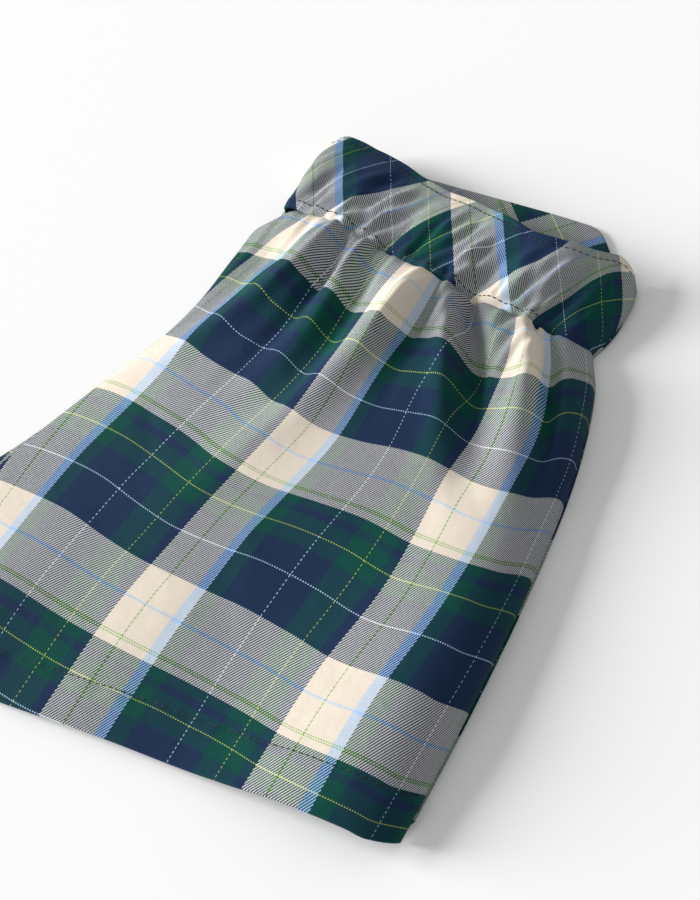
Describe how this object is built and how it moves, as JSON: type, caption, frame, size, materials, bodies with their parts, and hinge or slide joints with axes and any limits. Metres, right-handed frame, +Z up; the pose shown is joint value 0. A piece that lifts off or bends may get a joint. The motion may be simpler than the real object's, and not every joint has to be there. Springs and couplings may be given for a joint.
{
  "type": "skort",
  "caption": "Child's plaid skort laid out flat, front up, with a gathered skirt, an elasticated waistband and plain shorts inside.",
  "frame": {"origin": "middle of the garment's bounding box, on the surface it lies on", "axes": "+Z up from the surface to the skirt front; +Y from the hem to the waistband; +X across, from the wearer's right side to the left side"},
  "size_m": [0.268, 0.3212, 0.027],
  "materials": {
    "plaid_twill": "matt yarn-dyed cotton twill in navy, green and cream plaid",
    "plaid_bias": "the same matt plaid twill, cut on the bias over elastic",
    "shorts_twill": "matt plain navy cotton twill"
  },
  "bodies": {
    "root": {"skirt_front": "plaid_twill", "skirt_back": "plaid_twill", "waistband_front": "plaid_bias", "waistband_back": "plaid_bias", "shorts_front_left": "shorts_twill", "shorts_front_right": "shorts_twill", "shorts_back_left": "shorts_twill", "shorts_back_right": "shorts_twill"}
  },
  "joints": []
}
